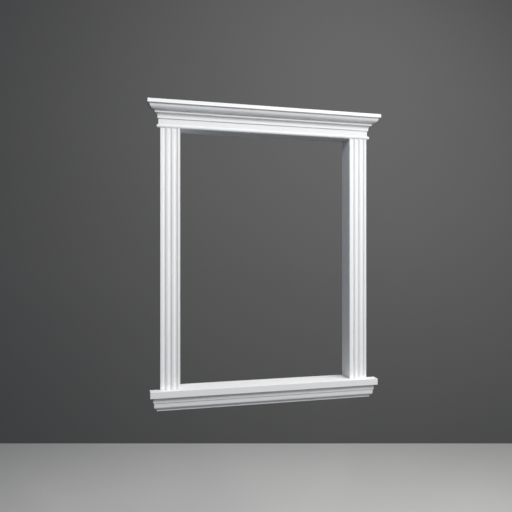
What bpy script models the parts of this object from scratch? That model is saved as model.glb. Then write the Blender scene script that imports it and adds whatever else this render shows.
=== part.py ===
"""A classical surround for an opening in a facade: a fluted casing on each side, a moulded head
cornice over them, a plain sill with a moulded apron below, and flat linings on the reveals.

Metres, +Z up. The surround faces -Y and its flat backs lie in the plane Y = 0, so Y > 0 is
inside the opening. The origin is the centre of the apron's back face.
"""

import math

import bmesh
import bpy

# Clearance kept between two pieces that touch
JOINT_GAP = 0.0003

# The opening that the surround frames, and how far its linings run back behind the casings
OPENING_WIDTH = 1.120
OPENING_HEIGHT = 1.5905
REVEAL_DEPTH = 0.106
LINING_THICKNESS = 0.012

# Fluted casings
CASING_WIDTH = 0.120
CASING_THICKNESS = 0.018
CASING_EDGE_FLAT = 0.015
FLUTE_COUNT = 3
FLUTE_WIDTH = 0.021
FLUTE_DEPTH = 0.007

# How far the cores of the cornice and the apron pass the casings, before their mouldings
CORE_LAP = 0.004

# Sill slab, with a slight fall to the front, and its tongue into the opening
SILL_FRONT_HEIGHT = 0.040
SILL_PROJECTION = 0.060
SILL_SIDE_LAP = 0.0625
SILL_FALL = 0.002
SILL_TONGUE_THICKNESS = 0.022

# Apron, top to bottom. Projections are measured from its flat back
APRON_TOP_PROJECTION = 0.040
APRON_BAND_TAPER = 0.001
APRON_BAND_HEIGHT = 0.0335
APRON_OVOLO_PROJECTION = 0.0345
APRON_OVOLO_FLAT = 0.0225
APRON_OVOLO_HEIGHT = 0.015
APRON_FILLET_PROJECTION = 0.017
APRON_FILLET_HEIGHT = 0.015
APRON_QUIRK = 0.004

# Head cornice, bottom to top. Projections are measured from its flat back
BEAD_HEIGHT = 0.023
BEAD_SWELL = 0.011
FRIEZE_PROJECTION = 0.007
FRIEZE_HEIGHT = 0.0355
LOWER_FILLET_PROJECTION = 0.013
LOWER_FILLET_HEIGHT = 0.0105
CAVETTO_HEIGHT = 0.0215
MIDDLE_FILLET_PROJECTION = 0.031
MIDDLE_FILLET_HEIGHT = 0.013
OVOLO_PROJECTION = 0.065
OVOLO_HEIGHT = 0.034
CORONA_PROJECTION = 0.0755
CORONA_HEIGHT = 0.0225

# Straight steps that each quarter turn, bead and flute is drawn with
QUARTER_STEPS = 10
BEAD_STEPS = 16
FLUTE_STEPS = 12

WHITE_COAT = (0.86, 0.87, 0.89)
LINING_COAT = (0.84, 0.85, 0.87)
COAT_ROUGHNESS = 0.55

QUARTER_TURN = math.pi / 2

# Heights and widths that follow from the sizes above
APRON_HEIGHT = APRON_BAND_HEIGHT + APRON_OVOLO_FLAT + APRON_OVOLO_HEIGHT + APRON_FILLET_HEIGHT
APRON_TOP = APRON_HEIGHT / 2
SILL_UNDERSIDE = APRON_TOP + JOINT_GAP
SILL_FRONT_TOP = SILL_UNDERSIDE + SILL_FRONT_HEIGHT
OPENING_HALF = OPENING_WIDTH / 2
CASING_OUTER = OPENING_HALF + CASING_WIDTH
CORE_HALF = CASING_OUTER + CORE_LAP
LINING_OUTER = OPENING_HALF + LINING_THICKNESS


def sill_top(y):
    """Height of the sill's weathered top at a distance y behind the casings' flat backs."""
    return SILL_FRONT_TOP + SILL_FALL * (y + SILL_PROJECTION) / (SILL_PROJECTION + REVEAL_DEPTH)


HEAD_HEIGHT = sill_top(REVEAL_DEPTH) + OPENING_HEIGHT


def clear_scene():
    for obj in list(bpy.data.objects):
        bpy.data.objects.remove(obj, do_unlink=True)


def coat_material(name, color):
    material = bpy.data.materials.new(name)
    material.use_nodes = True
    shader = material.node_tree.nodes["Principled BSDF"]
    shader.inputs["Base Color"].default_value = (*color, 1.0)
    shader.inputs["Roughness"].default_value = COAT_ROUGHNESS
    shader.inputs["Metallic"].default_value = 0.0
    return material


def add_object(name, bm, color=WHITE_COAT):
    """Turn a finished bmesh into the named sub-part, faces pointing out."""
    bmesh.ops.recalc_face_normals(bm, faces=bm.faces)
    mesh = bpy.data.meshes.new(name)
    bm.to_mesh(mesh)
    bm.free()
    mesh.materials.append(coat_material(name + "_coat", color))
    obj = bpy.data.objects.new(name, mesh)
    bpy.context.scene.collection.objects.link(obj)
    return obj


def arc(center, radii, start, end, steps):
    """Points of an elliptical arc from angle start to angle end, both ends included."""
    points = []
    for step in range(steps + 1):
        angle = start + (end - start) * step / steps
        across = center[0] + radii[0] * math.cos(angle)
        up = center[1] + radii[1] * math.sin(angle)
        points.append((across, up))
    return points


def returned_moulding(name, profile, core_half):
    """Sweep a profile of (projection, height) points along the front, with mitred returns.

    The first and last points lie in the plane of the back. At each end the moulding turns the
    corner and runs back to that plane, so its side projection equals its front projection.
    """
    bm = bmesh.new()
    rings = []
    for projection, height in profile:
        if projection == 0.0:
            left = bm.verts.new((-core_half, 0.0, height))
            right = bm.verts.new((core_half, 0.0, height))
            rings.append((left, left, right, right))
            continue
        side = core_half + projection
        back_left = bm.verts.new((-side, 0.0, height))
        front_left = bm.verts.new((-side, -projection, height))
        front_right = bm.verts.new((side, -projection, height))
        back_right = bm.verts.new((side, 0.0, height))
        rings.append((back_left, front_left, front_right, back_right))
    for upper, lower in zip(rings, rings[1:]):
        for leg in range(3):
            corners = [upper[leg], upper[leg + 1], lower[leg + 1], lower[leg]]
            distinct = list(dict.fromkeys(corners))
            if len(distinct) > 2:
                bm.faces.new(distinct)
    left_edge = [ring[0] for ring in rings]
    right_edge = [ring[-1] for ring in reversed(rings)]
    bm.faces.new(left_edge + right_edge)
    return add_object(name, bm)


def upright_section(name, outline, bottom, top, color=WHITE_COAT):
    """Raise a closed (x, y) outline from the sill, whose slope bottom(y) its foot follows."""
    bm = bmesh.new()
    lower = [bm.verts.new((x, y, bottom(y))) for x, y in outline]
    upper = [bm.verts.new((x, y, top)) for x, y in outline]
    count = len(outline)
    for index in range(count):
        following = (index + 1) % count
        bm.faces.new((lower[index], lower[following], upper[following], upper[index]))
    bm.faces.new(lower)
    bm.faces.new(upper)
    return add_object(name, bm, color)


def lengthwise_section(name, outline, half_width, color=WHITE_COAT):
    """Run a closed (y, z) outline along X, the same distance either side of the centre."""
    bm = bmesh.new()
    left = [bm.verts.new((-half_width, y, z)) for y, z in outline]
    right = [bm.verts.new((half_width, y, z)) for y, z in outline]
    count = len(outline)
    for index in range(count):
        following = (index + 1) % count
        bm.faces.new((left[index], left[following], right[following], right[index]))
    bm.faces.new(left)
    bm.faces.new(right)
    return add_object(name, bm, color)


def foot_height(y):
    """Where a piece that stands on the sill starts."""
    return sill_top(y) + JOINT_GAP


def cornice_profile():
    """Corona, ovolo, fillet, cavetto, fillet, frieze and bead, from the top down."""
    frieze_top = HEAD_HEIGHT + BEAD_HEIGHT + FRIEZE_HEIGHT
    cavetto_foot = frieze_top + LOWER_FILLET_HEIGHT
    cavetto_top = cavetto_foot + CAVETTO_HEIGHT
    ovolo_foot = cavetto_top + MIDDLE_FILLET_HEIGHT
    corona_foot = ovolo_foot + OVOLO_HEIGHT
    top = corona_foot + CORONA_HEIGHT
    ovolo = arc(
        (MIDDLE_FILLET_PROJECTION, corona_foot),
        (OVOLO_PROJECTION - MIDDLE_FILLET_PROJECTION, OVOLO_HEIGHT),
        0.0, -QUARTER_TURN, QUARTER_STEPS,
    )
    cavetto = arc(
        (MIDDLE_FILLET_PROJECTION, cavetto_foot),
        (MIDDLE_FILLET_PROJECTION - LOWER_FILLET_PROJECTION, CAVETTO_HEIGHT),
        QUARTER_TURN, 2 * QUARTER_TURN, QUARTER_STEPS,
    )
    bead = arc(
        (FRIEZE_PROJECTION, HEAD_HEIGHT + BEAD_HEIGHT / 2),
        (BEAD_SWELL, BEAD_HEIGHT / 2),
        QUARTER_TURN, -QUARTER_TURN, BEAD_STEPS,
    )
    profile = [(0.0, top), (CORONA_PROJECTION, top), (CORONA_PROJECTION, corona_foot)]
    profile += ovolo
    profile += cavetto
    profile += [(LOWER_FILLET_PROJECTION, frieze_top), (FRIEZE_PROJECTION, frieze_top)]
    profile += bead
    profile.append((0.0, HEAD_HEIGHT))
    return profile


def apron_profile():
    """Tapering band, flat that rounds under as an ovolo, and bottom fillet."""
    band_foot = APRON_TOP - APRON_BAND_HEIGHT
    ovolo_start = band_foot - APRON_OVOLO_FLAT
    ovolo_foot = ovolo_start - APRON_OVOLO_HEIGHT
    ovolo_inner = APRON_FILLET_PROJECTION + APRON_QUIRK
    ovolo = arc(
        (ovolo_inner, ovolo_start),
        (APRON_OVOLO_PROJECTION - ovolo_inner, APRON_OVOLO_HEIGHT),
        0.0, -QUARTER_TURN, QUARTER_STEPS,
    )
    profile = [(0.0, APRON_TOP), (APRON_TOP_PROJECTION, APRON_TOP)]
    profile.append((APRON_TOP_PROJECTION - APRON_BAND_TAPER, band_foot))
    profile.append((APRON_OVOLO_PROJECTION, band_foot))
    profile += ovolo
    profile.append((APRON_FILLET_PROJECTION, ovolo_foot))
    profile.append((APRON_FILLET_PROJECTION, ovolo_foot - APRON_FILLET_HEIGHT))
    profile.append((0.0, ovolo_foot - APRON_FILLET_HEIGHT))
    return profile


def casing_outline(inner, outward):
    """Section of a casing from its inner edge; outward is -1 for the left one, 1 for the right."""
    radius = (FLUTE_WIDTH ** 2 / 4 + FLUTE_DEPTH ** 2) / (2 * FLUTE_DEPTH)
    half_angle = math.asin(FLUTE_WIDTH / 2 / radius)
    if FLUTE_DEPTH > radius:
        half_angle = math.pi - half_angle
    first = CASING_EDGE_FLAT + FLUTE_WIDTH / 2
    pitch = (CASING_WIDTH - 2 * first) / (FLUTE_COUNT - 1)
    center_depth = FLUTE_DEPTH - radius
    section = [(0.0, 0.0), (0.0, CASING_THICKNESS)]
    for flute in range(FLUTE_COUNT):
        for step in range(FLUTE_STEPS + 1):
            angle = half_angle * (2 * step / FLUTE_STEPS - 1)
            across = first + flute * pitch + radius * math.sin(angle)
            depth = max(0.0, center_depth + radius * math.cos(angle))
            section.append((across, CASING_THICKNESS - depth))
    section += [(CASING_WIDTH, CASING_THICKNESS), (CASING_WIDTH, 0.0)]
    return [(inner + outward * across, -projection) for across, projection in section]


def make_sill():
    """Slab that passes the casings, with a narrower tongue under the linings."""
    bm = bmesh.new()
    slab_half = CASING_OUTER + SILL_SIDE_LAP
    tongue_half = LINING_OUTER
    front = -SILL_PROJECTION
    tongue_foot = SILL_FRONT_TOP - SILL_TONGUE_THICKNESS
    plan = [
        (-slab_half, front), (slab_half, front), (slab_half, 0.0), (tongue_half, 0.0),
        (tongue_half, REVEAL_DEPTH), (-tongue_half, REVEAL_DEPTH), (-tongue_half, 0.0),
        (-slab_half, 0.0),
    ]
    top = [bm.verts.new((x, y, sill_top(y))) for x, y in plan]
    (front_left, front_right, back_right, notch_right,
     end_right, end_left, notch_left, back_left) = top
    bm.faces.new(top)
    low_front_left = bm.verts.new((-slab_half, front, SILL_UNDERSIDE))
    low_front_right = bm.verts.new((slab_half, front, SILL_UNDERSIDE))
    low_back_right = bm.verts.new((slab_half, 0.0, SILL_UNDERSIDE))
    low_back_left = bm.verts.new((-slab_half, 0.0, SILL_UNDERSIDE))
    root_right = bm.verts.new((tongue_half, 0.0, tongue_foot))
    root_left = bm.verts.new((-tongue_half, 0.0, tongue_foot))
    tip_right = bm.verts.new((tongue_half, REVEAL_DEPTH, tongue_foot))
    tip_left = bm.verts.new((-tongue_half, REVEAL_DEPTH, tongue_foot))
    bm.faces.new((low_front_left, low_front_right, low_back_right, low_back_left))
    bm.faces.new((front_left, front_right, low_front_right, low_front_left))
    bm.faces.new((front_right, back_right, low_back_right, low_front_right))
    bm.faces.new((back_left, front_left, low_front_left, low_back_left))
    bm.faces.new((back_right, notch_right, root_right, root_left, notch_left, back_left,
                  low_back_left, low_back_right))
    bm.faces.new((notch_right, end_right, tip_right, root_right))
    bm.faces.new((end_left, notch_left, root_left, tip_left))
    bm.faces.new((end_right, end_left, tip_left, tip_right))
    bm.faces.new((root_right, tip_right, tip_left, root_left))
    return add_object("sill", bm)


def make_casings():
    top = HEAD_HEIGHT - JOINT_GAP
    for side, outward in (("left", -1), ("right", 1)):
        outline = casing_outline(outward * OPENING_HALF, outward)
        upright_section("casing_" + side, outline, foot_height, top)


def make_linings():
    """Two side boards that stand on the sill's tongue, and a head board that lies on them."""
    front = JOINT_GAP
    for side, outward in (("left", -1), ("right", 1)):
        near = outward * OPENING_HALF
        far = outward * LINING_OUTER
        outline = [(near, front), (far, front), (far, REVEAL_DEPTH), (near, REVEAL_DEPTH)]
        upright_section(
            "reveal_" + side, outline, foot_height, HEAD_HEIGHT - JOINT_GAP, LINING_COAT
        )
    ceiling = HEAD_HEIGHT + LINING_THICKNESS
    board = [
        (front, HEAD_HEIGHT), (REVEAL_DEPTH, HEAD_HEIGHT),
        (REVEAL_DEPTH, ceiling), (front, ceiling),
    ]
    lengthwise_section("reveal_head", board, LINING_OUTER, LINING_COAT)


def build():
    clear_scene()
    returned_moulding("head_cornice", cornice_profile(), CORE_HALF)
    make_casings()
    make_sill()
    returned_moulding("sill_apron", apron_profile(), CORE_HALF)
    make_linings()


build()
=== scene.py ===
import math

import bmesh
import bpy
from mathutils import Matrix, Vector


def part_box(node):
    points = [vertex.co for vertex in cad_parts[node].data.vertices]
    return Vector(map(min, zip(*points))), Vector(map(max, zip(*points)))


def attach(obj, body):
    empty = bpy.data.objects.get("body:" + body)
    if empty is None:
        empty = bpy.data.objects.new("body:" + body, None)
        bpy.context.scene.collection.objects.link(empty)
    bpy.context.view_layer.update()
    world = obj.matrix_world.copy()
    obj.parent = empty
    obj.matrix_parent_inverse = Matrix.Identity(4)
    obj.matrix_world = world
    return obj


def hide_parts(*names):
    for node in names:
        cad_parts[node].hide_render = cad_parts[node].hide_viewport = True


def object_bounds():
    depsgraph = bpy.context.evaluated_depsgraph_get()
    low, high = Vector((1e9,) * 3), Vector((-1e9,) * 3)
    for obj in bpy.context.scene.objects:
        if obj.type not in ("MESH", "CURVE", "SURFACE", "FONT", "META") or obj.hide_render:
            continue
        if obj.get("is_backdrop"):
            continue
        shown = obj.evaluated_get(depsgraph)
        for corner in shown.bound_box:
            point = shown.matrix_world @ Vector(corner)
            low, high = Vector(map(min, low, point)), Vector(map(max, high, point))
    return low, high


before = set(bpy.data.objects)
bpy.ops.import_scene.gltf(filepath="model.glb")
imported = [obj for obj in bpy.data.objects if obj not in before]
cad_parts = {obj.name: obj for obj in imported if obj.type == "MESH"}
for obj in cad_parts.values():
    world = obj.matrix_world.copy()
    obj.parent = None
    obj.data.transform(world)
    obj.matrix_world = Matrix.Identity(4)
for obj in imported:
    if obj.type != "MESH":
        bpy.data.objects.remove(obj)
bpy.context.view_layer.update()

# The place where the surround is shown: a plain pale floor well below it, a plain grey backdrop
# behind it, and a level camera a little to its left. The floor throws no light up, so that the
# undersides stay as dark as in the photo.
CAMERA_PLACE = (-0.9372, -3.3434, 0.8974)
CAMERA_TURN = math.radians(14.434)
CAMERA_LENS = 38.11
CAMERA_REACH = 60.0
SENSOR_WIDTH = 36.0
FLOOR_HEIGHT = -1.6
FLOOR_HALF = 14.0
BACKDROP_DISTANCE = 3.75
BACKDROP_HALF = 12.0
BACKDROP_TOP = 9.0

camera_data = bpy.data.cameras.new("camera")
camera_data.lens = CAMERA_LENS
camera_data.sensor_width = SENSOR_WIDTH
camera_data.clip_end = CAMERA_REACH
camera = bpy.data.objects.new("camera", camera_data)
camera.location = CAMERA_PLACE
camera.rotation_euler = (math.radians(90.0), 0.0, -CAMERA_TURN)
bpy.context.scene.collection.objects.link(camera)
bpy.context.scene.camera = camera


def stage_material(name, light, dark, scale, roughness):
    """Matt studio surface with a faint drift between two close tones."""
    material = bpy.data.materials.new(name)
    material.use_nodes = True
    nodes = material.node_tree.nodes
    links = material.node_tree.links
    shader = nodes["Principled BSDF"]
    shader.inputs["Roughness"].default_value = roughness
    place = nodes.new("ShaderNodeTexCoord")
    noise = nodes.new("ShaderNodeTexNoise")
    noise.inputs["Scale"].default_value = scale
    noise.inputs["Detail"].default_value = 4.0
    tone = nodes.new("ShaderNodeMix")
    tone.data_type = "RGBA"
    tone.inputs["A"].default_value = (*dark, 1.0)
    tone.inputs["B"].default_value = (*light, 1.0)
    links.new(place.outputs["Object"], noise.inputs["Vector"])
    links.new(noise.outputs["Fac"], tone.inputs["Factor"])
    links.new(tone.outputs["Result"], shader.inputs["Base Color"])
    return material


def stage_panel(name, corners, material):
    """One flat four-cornered surface that belongs to the studio."""
    mesh = bpy.data.meshes.new(name)
    mesh.from_pydata(corners, [], [(0, 1, 2, 3)])
    mesh.materials.append(material)
    panel = bpy.data.objects.new(name, mesh)
    bpy.context.scene.collection.objects.link(panel)
    panel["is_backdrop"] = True
    return panel


floor = stage_panel("floor", [
    (-FLOOR_HALF, -FLOOR_HALF, FLOOR_HEIGHT), (FLOOR_HALF, -FLOOR_HALF, FLOOR_HEIGHT),
    (FLOOR_HALF, FLOOR_HALF, FLOOR_HEIGHT), (-FLOOR_HALF, FLOOR_HALF, FLOOR_HEIGHT),
], stage_material(
    "floor_finish", light=(0.80, 0.80, 0.79), dark=(0.76, 0.76, 0.75), scale=1.5, roughness=0.7,
))
floor.visible_diffuse = False

away = Vector((math.sin(CAMERA_TURN), math.cos(CAMERA_TURN), 0.0))
across = Vector((math.cos(CAMERA_TURN), -math.sin(CAMERA_TURN), 0.0))
foot = away * BACKDROP_DISTANCE + Vector((0.0, 0.0, FLOOR_HEIGHT))
rise = Vector((0.0, 0.0, BACKDROP_TOP - FLOOR_HEIGHT))
stage_panel("backdrop", [
    foot - across * BACKDROP_HALF, foot + across * BACKDROP_HALF,
    foot + across * BACKDROP_HALF + rise, foot - across * BACKDROP_HALF + rise,
], stage_material(
    "backdrop_finish", light=(0.17, 0.17, 0.17), dark=(0.16, 0.16, 0.16), scale=0.8, roughness=0.9,
))

# Plain soft studio light: large panels in front at the right and left, one high and one level on
# the right, a weak low one for the undersides, one behind for the backs, and a dim bluish room.
AIM = Vector((0.0, 0.0, 0.95))
PANEL_DISTANCE = 5.0
PANEL_SIZE = 2.0
BACK_PANEL_DISTANCE = 3.2
BACK_PANEL_SIZE = 1.5
ROOM_TONE = (0.60, 0.78, 1.0)
ROOM_STRENGTH = 0.054


def soft_panel(name, turn, lift, power, color, distance=PANEL_DISTANCE, size=PANEL_SIZE):
    """Square panel that looks at the surround; turn 0 is in front, positive to the right."""
    turn = math.radians(turn)
    lift = math.radians(lift)
    way = Vector((
        math.sin(turn) * math.cos(lift), -math.cos(turn) * math.cos(lift), math.sin(lift),
    ))
    data = bpy.data.lights.new(name, "AREA")
    data.shape = "SQUARE"
    data.size = size
    data.energy = power
    data.color = color
    light = bpy.data.objects.new(name, data)
    light.location = AIM + way * distance
    light.rotation_euler = (-way).to_track_quat("-Z", "Y").to_euler()
    light.visible_camera = False
    bpy.context.scene.collection.objects.link(light)


soft_panel("key_panel", turn=30.0, lift=36.0, power=128.0, color=(1.0, 0.985, 0.96))
soft_panel("left_panel", turn=-30.0, lift=35.0, power=78.0, color=(0.98, 0.985, 1.0))
soft_panel("high_panel", turn=60.0, lift=65.0, power=155.0, color=(1.0, 0.985, 0.97))
soft_panel("side_panel", turn=60.0, lift=5.0, power=55.0, color=(1.0, 0.98, 0.96))
soft_panel("low_panel", turn=0.0, lift=-15.0, power=23.0, color=(1.0, 0.97, 0.95))
soft_panel(
    "back_panel", turn=160.0, lift=25.0, power=16.0, color=(0.97, 0.98, 1.0),
    distance=BACK_PANEL_DISTANCE, size=BACK_PANEL_SIZE,
)
room = bpy.data.worlds.new("room")
room.use_nodes = True
room.node_tree.nodes["Background"].inputs["Color"].default_value = (*ROOM_TONE, 1.0)
room.node_tree.nodes["Background"].inputs["Strength"].default_value = ROOM_STRENGTH
bpy.context.scene.world = room
bpy.context.scene.view_settings.view_transform = "Standard"

# Head cornice: one rigid foam moulding under a white acrylic coat, glued on by its flat back
# over the opening. Its ends turn the corner in mitred returns that run back to that plane, and
# the coat leaves every arris slightly eased.
BACK_PLANE = 0.0
BEAD_HEIGHT = 0.023
BEAD_SWELL = 0.011
FRIEZE_PROJECTION = 0.007
FRIEZE_HEIGHT = 0.0355
LOWER_FILLET_PROJECTION = 0.013
LOWER_FILLET_HEIGHT = 0.0105
CAVETTO_HEIGHT = 0.0215
MIDDLE_FILLET_PROJECTION = 0.031
MIDDLE_FILLET_HEIGHT = 0.013
OVOLO_PROJECTION = 0.065
OVOLO_HEIGHT = 0.034
QUARTER_TURN = math.pi / 2
CURVE_STEPS = 28
ARRIS_EASE = 0.0011
ARRIS_STEPS = 3
SHARPEST_CURVE = math.radians(20.0)

# The coat's tones, the scales of its patterns, and how strongly each pattern shows
COAT_WHITE = (0.87, 0.88, 0.895)
COAT_SPECULAR = 0.4
# Whiter tone for the arrises: partly rubbed wear, partly a painted highlight along the edges
RUB_AND_HIGHLIGHT_WHITE = (0.96, 0.955, 0.94, 1.0)
# Dark tone for dust on upward ledges and for painted shade in the hollows
DUST_AND_SHADE_TONE = (0.55, 0.54, 0.52, 1.0)
NOISE_MEAN = 0.5
BROAD_SCALE = 1.7
PATCH_SCALE = 22.0
FLECK_SCALE = 140.0
PATCH_SHARE = 0.6
LEDGE_SLOPE = 0.6
HOLLOW_REACH = 0.014
ARRIS_REACH = 0.0035
PATCH_SHEEN = 0.16
DULLING_IN_DUST_AND_SHADE = 0.5
RUB_POLISH = 0.25
PATCH_SWELL = 0.9
FLECK_SWELL = 0.35
RELIEF_DEPTH = 0.0004


def coat_group():
    """Sprayed acrylic coat: drift of tone, fine peel, dust on ledges, painted shade darkening the
    hollows, and arrises lightened by rubbed wear and a painted highlight.
    """
    group = bpy.data.node_groups.new("acrylic_coat", "ShaderNodeTree")
    for label in ("Coat Color", "Dust And Shade Color"):
        group.interface.new_socket(label, in_out="INPUT", socket_type="NodeSocketColor")
    for label in (
        "Dust And Hollow Shade Amount", "Rub And Highlight Amount", "Tone Drift", "Roughness Base", "Peel Scale", "Peel Height",
    ):
        group.interface.new_socket(label, in_out="INPUT", socket_type="NodeSocketFloat")
    group.interface.new_socket("Color", in_out="OUTPUT", socket_type="NodeSocketColor")
    for label in ("Roughness", "Height"):
        group.interface.new_socket(label, in_out="OUTPUT", socket_type="NodeSocketFloat")
    nodes = group.nodes
    links = group.links
    given = nodes.new("NodeGroupInput").outputs
    result = nodes.new("NodeGroupOutput").inputs
    place = nodes.new("ShaderNodeTexCoord").outputs["Object"]

    def feed(socket, value):
        """Link an output to the socket, or set the socket to a number or colour."""
        if isinstance(value, bpy.types.NodeSocket):
            links.new(value, socket)
        else:
            socket.default_value = value

    def noise(scale, detail):
        node = nodes.new("ShaderNodeTexNoise")
        feed(node.inputs["Scale"], scale)
        feed(node.inputs["Detail"], detail)
        feed(node.inputs["Vector"], place)
        return node.outputs["Fac"]

    def maths(operation, first, second):
        node = nodes.new("ShaderNodeMath")
        node.operation = operation
        feed(node.inputs[0], first)
        feed(node.inputs[1], second)
        return node.outputs["Value"]

    def blend(kind, factor, first, second):
        node = nodes.new("ShaderNodeMix")
        node.data_type = "RGBA"
        node.blend_type = kind
        feed(node.inputs["Factor"], factor)
        feed(node.inputs["A"], first)
        feed(node.inputs["B"], second)
        return node.outputs["Result"]

    def nearness(distance, inside):
        """How closely other faces crowd a point: hollows from outside, arrises from inside."""
        node = nodes.new("ShaderNodeAmbientOcclusion")
        node.samples = 8
        node.only_local = True
        node.inside = inside
        feed(node.inputs["Distance"], distance)
        return maths("SUBTRACT", 1.0, node.outputs["AO"])

    broad = maths("SUBTRACT", noise(BROAD_SCALE, detail=5.0), NOISE_MEAN)
    patches = noise(PATCH_SCALE, detail=4.0)
    patchy = maths("SUBTRACT", patches, NOISE_MEAN)
    flecks = noise(FLECK_SCALE, detail=3.0)
    peel = noise(given["Peel Scale"], detail=2.0)

    facing = nodes.new("ShaderNodeSeparateXYZ")
    feed(facing.inputs["Vector"], nodes.new("ShaderNodeNewGeometry").outputs["Normal"])
    ledge = maths("MAXIMUM", maths("SUBTRACT", facing.outputs["Z"], LEDGE_SLOPE), 0.0)
    settled = maths("MULTIPLY", ledge, flecks)
    # Painted shade: hollows darkened towards the dark tone where nearby faces crowd them
    painted_hollow_shade = maths("MULTIPLY", nearness(HOLLOW_REACH, inside=False), patches)
    dust_and_hollow_shade = maths("MULTIPLY", maths("ADD", settled, painted_hollow_shade), given["Dust And Hollow Shade Amount"])
    # Painted highlight: arrises lightened towards a whiter tone where few faces crowd them, with
    # rubbed wear that also polishes them
    exposed = maths("MULTIPLY", nearness(ARRIS_REACH, inside=True), patches)
    rub_and_highlight = maths("MULTIPLY", exposed, given["Rub And Highlight Amount"])

    drift = maths("ADD", broad, maths("MULTIPLY", patchy, PATCH_SHARE))
    lightness = maths("ADD", maths("MULTIPLY", drift, given["Tone Drift"]), 1.0)
    shade = nodes.new("ShaderNodeCombineColor")
    for channel in ("Red", "Green", "Blue"):
        feed(shade.inputs[channel], lightness)
    drifted = blend("MULTIPLY", 1.0, given["Coat Color"], shade.outputs["Color"])
    dusted_and_shaded = blend("MIX", dust_and_hollow_shade, drifted, given["Dust And Shade Color"])
    feed(result["Color"], blend("MIX", rub_and_highlight, dusted_and_shaded, RUB_AND_HIGHLIGHT_WHITE))

    sheen = maths("ADD", given["Roughness Base"], maths("MULTIPLY", patchy, PATCH_SHEEN))
    dulled = maths("ADD", sheen, maths("MULTIPLY", dust_and_hollow_shade, DULLING_IN_DUST_AND_SHADE))
    feed(result["Roughness"], maths("SUBTRACT", dulled, maths("MULTIPLY", rub_and_highlight, RUB_POLISH)))

    grain = maths("MULTIPLY", peel, given["Peel Height"])
    swell = maths("MULTIPLY", patches, PATCH_SWELL)
    ripple = maths("MULTIPLY", flecks, FLECK_SWELL)
    feed(result["Height"], maths("ADD", grain, maths("ADD", swell, ripple)))
    return group


acrylic_coat = coat_group()


def coat_material(name, color, relief_strength, amounts):
    """A coat of the shared kind in its own colour, sheen and grain."""
    material = bpy.data.materials.new(name)
    material.use_nodes = True
    nodes = material.node_tree.nodes
    links = material.node_tree.links
    shader = nodes["Principled BSDF"]
    shader.inputs["Specular IOR Level"].default_value = COAT_SPECULAR
    coat = nodes.new("ShaderNodeGroup")
    coat.node_tree = acrylic_coat
    coat.inputs["Coat Color"].default_value = (*color, 1.0)
    coat.inputs["Dust And Shade Color"].default_value = DUST_AND_SHADE_TONE
    for label, amount in amounts.items():
        coat.inputs[label].default_value = amount
    relief = nodes.new("ShaderNodeBump")
    relief.inputs["Strength"].default_value = relief_strength
    relief.inputs["Distance"].default_value = RELIEF_DEPTH
    links.new(coat.outputs["Color"], shader.inputs["Base Color"])
    links.new(coat.outputs["Roughness"], shader.inputs["Roughness"])
    links.new(coat.outputs["Height"], relief.inputs["Height"])
    links.new(relief.outputs["Normal"], shader.inputs["Normal"])
    return material


facade_coat = coat_material("facade_coat", COAT_WHITE, relief_strength=0.5, amounts={
    "Roughness Base": 0.5, "Dust And Hollow Shade Amount": 0.6, "Rub And Highlight Amount": 0.6, "Tone Drift": 0.045,
    "Peel Scale": 650.0, "Peel Height": 0.6,
})


def arc(center, radii, start, end, steps):
    """Points of an elliptical arc from angle start to angle end, both ends included."""
    points = []
    for step in range(steps + 1):
        angle = start + (end - start) * step / steps
        reach = center[0] + radii[0] * math.cos(angle)
        points.append((reach, center[1] + radii[1] * math.sin(angle)))
    return points


def returned_moulding(profile, core_half):
    """Sweep (projection, height) points along the front and round both corners to the back.

    A point in the back plane has no front, so its ring is the two corners, each taken twice.
    """
    bm = bmesh.new()
    rings = []
    for projection, height in profile:
        side = core_half + projection
        plan = [(-side, BACK_PLANE), (side, BACK_PLANE)]
        if projection > 0.0:
            front = BACK_PLANE - projection
            plan[1:1] = [(-side, front), (side, front)]
        ring = [bm.verts.new((x, y, height)) for x, y in plan]
        rings.append(ring if projection > 0.0 else [ring[0], ring[0], ring[1], ring[1]])
    for upper, lower in zip(rings, rings[1:]):
        for leg in range(3):
            corners = [upper[leg], upper[leg + 1], lower[leg + 1], lower[leg]]
            distinct = list(dict.fromkeys(corners))
            if len(distinct) > 2:
                bm.faces.new(distinct)
    bm.faces.new([ring[0] for ring in rings] + [ring[-1] for ring in reversed(rings)])
    return bm


def coated_piece(name, bm, material, node):
    """Finish a piece: faces out, eased arrises, smooth curves, and its place in the frame."""
    bmesh.ops.recalc_face_normals(bm, faces=bm.faces)
    mesh = bpy.data.meshes.new(name)
    bm.to_mesh(mesh)
    bm.free()
    mesh.shade_smooth()
    mesh.materials.append(material)
    piece = bpy.data.objects.new(name, mesh)
    bpy.context.scene.collection.objects.link(piece)
    ease = piece.modifiers.new("eased_arrises", "BEVEL")
    ease.width = ARRIS_EASE
    ease.segments = ARRIS_STEPS
    ease.limit_method = "ANGLE"
    ease.angle_limit = SHARPEST_CURVE
    ease.use_clamp_overlap = False
    ease.harden_normals = True
    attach(piece, "root")
    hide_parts(node)


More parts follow.
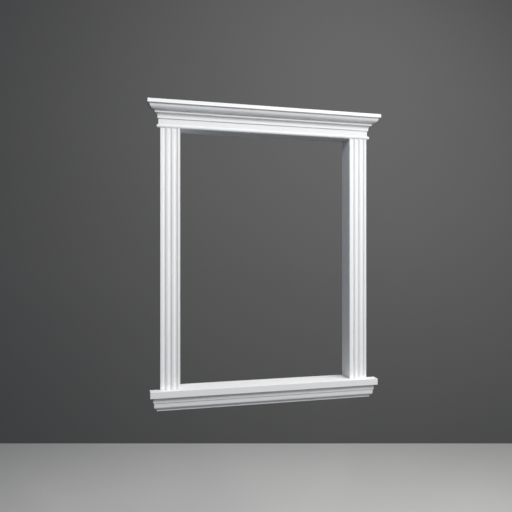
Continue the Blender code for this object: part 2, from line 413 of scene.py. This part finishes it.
low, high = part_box("head_cornice")
corona_projection = BACK_PLANE - low[1]
frieze_top = low[2] + BEAD_HEIGHT + FRIEZE_HEIGHT
cavetto_foot = frieze_top + LOWER_FILLET_HEIGHT
corona_foot = cavetto_foot + CAVETTO_HEIGHT + MIDDLE_FILLET_HEIGHT + OVOLO_HEIGHT
corona = [(0.0, high[2]), (corona_projection, high[2]), (corona_projection, corona_foot)]
ovolo = arc(
    (MIDDLE_FILLET_PROJECTION, corona_foot),
    (OVOLO_PROJECTION - MIDDLE_FILLET_PROJECTION, OVOLO_HEIGHT), 0.0, -QUARTER_TURN, CURVE_STEPS,
)
cavetto = arc(
    (MIDDLE_FILLET_PROJECTION, cavetto_foot),
    (MIDDLE_FILLET_PROJECTION - LOWER_FILLET_PROJECTION, CAVETTO_HEIGHT),
    QUARTER_TURN, 2 * QUARTER_TURN, CURVE_STEPS,
)
underside = [(LOWER_FILLET_PROJECTION, frieze_top), (FRIEZE_PROJECTION, frieze_top)]
bead = arc(
    (FRIEZE_PROJECTION, low[2] + BEAD_HEIGHT / 2), (BEAD_SWELL, BEAD_HEIGHT / 2),
    QUARTER_TURN, -QUARTER_TURN, 2 * CURVE_STEPS,
)
cornice_profile = corona + ovolo + cavetto + underside + bead + [(0.0, low[2])]
coated_piece(
    "head_cornice_moulding", returned_moulding(cornice_profile, high[0] - corona_projection),
    facade_coat, "head_cornice",
)

# Fluted casings: two flat foam boards with three round flutes each, run their full height. They
# stand on the sill, butt under the cornice and are glued on by their backs beside the opening.
CASING_EDGE_FLAT = 0.015
FLUTE_COUNT = 3
FLUTE_WIDTH = 0.021
FLUTE_DEPTH = 0.007
FLUTE_STEPS = 24
SILL_FALL = 0.002
JOINT_GAP = 0.0003


def casing_section(width, thickness):
    """Round flutes cut in a flat face, as (across, projection) from the inner edge."""
    radius = (FLUTE_WIDTH ** 2 / 4 + FLUTE_DEPTH ** 2) / (2 * FLUTE_DEPTH)
    half_angle = math.asin(FLUTE_WIDTH / 2 / radius)
    first = CASING_EDGE_FLAT + FLUTE_WIDTH / 2
    pitch = (width - 2 * first) / (FLUTE_COUNT - 1)
    section = [(0.0, 0.0), (0.0, thickness)]
    for flute in range(FLUTE_COUNT):
        for step in range(FLUTE_STEPS + 1):
            angle = half_angle * (2 * step / FLUTE_STEPS - 1)
            depth = FLUTE_DEPTH - radius + radius * math.cos(angle)
            section.append((first + flute * pitch + radius * math.sin(angle), thickness - depth))
    return section + [(width, thickness), (width, 0.0)]


sill_low, sill_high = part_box("sill")
sill_slope = SILL_FALL / (sill_high[1] - sill_low[1])


def sill_top(y):
    """Height of the sill's weathered top, which falls from the back to the front."""
    return sill_high[2] - sill_slope * (sill_high[1] - y)


def on_sill(y):
    """Where a piece that stands on the sill starts."""
    return sill_top(y) + JOINT_GAP


def raised_board(outline, foot, top):
    """Raise a closed (x, y) outline from the height foot(y) to a level top."""
    bm = bmesh.new()
    lower = [bm.verts.new((x, y, foot(y))) for x, y in outline]
    upper = [bm.verts.new((x, y, top)) for x, y in outline]
    for index in range(len(outline)):
        following = (index + 1) % len(outline)
        bm.faces.new((lower[index], lower[following], upper[following], upper[index]))
    bm.faces.new(lower)
    bm.faces.new(upper)
    return bm


for side, outward in (("left", -1), ("right", 1)):
    low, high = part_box("casing_" + side)
    inner = low[0] if outward > 0 else high[0]
    outline = [
        (inner + outward * reach, BACK_PLANE - projection)
        for reach, projection in casing_section(high[0] - low[0], high[1] - low[1])
    ]
    coated_piece(
        "casing_" + side + "_board", raised_board(outline, on_sill, high[2]), facade_coat,
        "casing_" + side,
    )

# Sill: a solid slab under a weather coat, with a slight fall to the front. It passes the casings
# at both ends, and a thinner tongue runs back under the linings, through the opening.
SILL_TONGUE_THICKNESS = 0.022
sill_coat = coat_material("sill_coat", COAT_WHITE, relief_strength=0.5, amounts={
    "Roughness Base": 0.46, "Dust And Hollow Shade Amount": 0.6, "Rub And Highlight Amount": 0.6, "Tone Drift": 0.05,
    "Peel Scale": 520.0, "Peel Height": 0.65,
})


def sill_body(low, high, tongue_half):
    """Slab between two corners, and a thinner tongue behind it, under one sloping top."""
    bm = bmesh.new()
    half = high[0]
    tongue_foot = sill_top(low[1]) - SILL_TONGUE_THICKNESS
    plan = [
        (-half, low[1]), (half, low[1]), (half, BACK_PLANE), (tongue_half, BACK_PLANE),
        (tongue_half, high[1]), (-tongue_half, high[1]), (-tongue_half, BACK_PLANE),
        (-half, BACK_PLANE),
    ]
    top = [bm.verts.new((x, y, sill_top(y))) for x, y in plan]
    slab_foot = [bm.verts.new((*plan[index], low[2])) for index in (0, 1, 2, 7)]
    tongue = [bm.verts.new((*plan[index], tongue_foot)) for index in (3, 4, 5, 6)]
    (front_left, front_right, back_right, root_right,
     end_right, end_left, root_left, back_left) = top
    low_front_left, low_front_right, low_back_right, low_back_left = slab_foot
    low_root_right, low_end_right, low_end_left, low_root_left = tongue
    bm.faces.new(top)
    bm.faces.new(slab_foot)
    bm.faces.new(tongue)
    bm.faces.new((front_left, front_right, low_front_right, low_front_left))
    bm.faces.new((front_right, back_right, low_back_right, low_front_right))
    bm.faces.new((back_left, front_left, low_front_left, low_back_left))
    bm.faces.new((back_right, root_right, low_root_right, low_root_left, root_left, back_left,
                  low_back_left, low_back_right))
    bm.faces.new((root_right, end_right, low_end_right, low_root_right))
    bm.faces.new((end_left, root_left, low_root_left, low_end_left))
    bm.faces.new((end_right, end_left, low_end_left, low_end_right))
    return bm


lining_low, lining_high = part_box("reveal_head")
coated_piece(
    "sill_slab", sill_body(sill_low, sill_high, lining_high[0]), sill_coat, "sill",
)

# Apron: a foam moulding glued on by its flat back under the slab. A tapering band, a flat that
# rounds under, and a bottom fillet, with mitred returns like the cornice's.
APRON_BAND_TAPER = 0.001
APRON_BAND_HEIGHT = 0.0335
APRON_OVOLO_PROJECTION = 0.0345
APRON_OVOLO_FLAT = 0.0225
APRON_OVOLO_HEIGHT = 0.015
APRON_FILLET_PROJECTION = 0.017
APRON_QUIRK = 0.004
low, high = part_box("sill_apron")
apron_projection = BACK_PLANE - low[1]
band_foot = high[2] - APRON_BAND_HEIGHT
rounding_top = band_foot - APRON_OVOLO_FLAT
rounding_foot = rounding_top - APRON_OVOLO_HEIGHT
rounding_inner = APRON_FILLET_PROJECTION + APRON_QUIRK
band = [
    (0.0, high[2]), (apron_projection, high[2]), (apron_projection - APRON_BAND_TAPER, band_foot),
]
rounding = arc(
    (rounding_inner, rounding_top),
    (APRON_OVOLO_PROJECTION - rounding_inner, APRON_OVOLO_HEIGHT), 0.0, -QUARTER_TURN, CURVE_STEPS,
)
fillet = [
    (APRON_FILLET_PROJECTION, rounding_foot), (APRON_FILLET_PROJECTION, low[2]), (0.0, low[2]),
]
apron_profile = band + [(APRON_OVOLO_PROJECTION, band_foot)] + rounding + fillet
coated_piece(
    "sill_apron_moulding", returned_moulding(apron_profile, high[0] - apron_projection),
    facade_coat, "sill_apron",
)

# Linings: three thin flat boards under a smoother white coat, glued to the sides and the head of
# the opening. The side boards stand on the sill's tongue, and the head board lies on them.
LINING_WHITE = (0.85, 0.86, 0.88)
lining_coat = coat_material("lining_coat", LINING_WHITE, relief_strength=0.4, amounts={
    "Roughness Base": 0.52, "Dust And Hollow Shade Amount": 0.5, "Rub And Highlight Amount": 0.4, "Tone Drift": 0.04,
    "Peel Scale": 700.0, "Peel Height": 0.5,
})


def plan_outline(low, high):
    """Plan of the board that fills a box, as (x, y) points."""
    return [(low[0], low[1]), (high[0], low[1]), (high[0], high[1]), (low[0], high[1])]


for side in ("left", "right"):
    low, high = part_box("reveal_" + side)
    coated_piece(
        "lining_" + side + "_board", raised_board(plan_outline(low, high), on_sill, high[2]),
        lining_coat, "reveal_" + side,
    )
head_board = raised_board(
    plan_outline(lining_low, lining_high), lambda y: lining_low[2], lining_high[2],
)
coated_piece("lining_head_board", head_board, lining_coat, "reveal_head")

low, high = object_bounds()
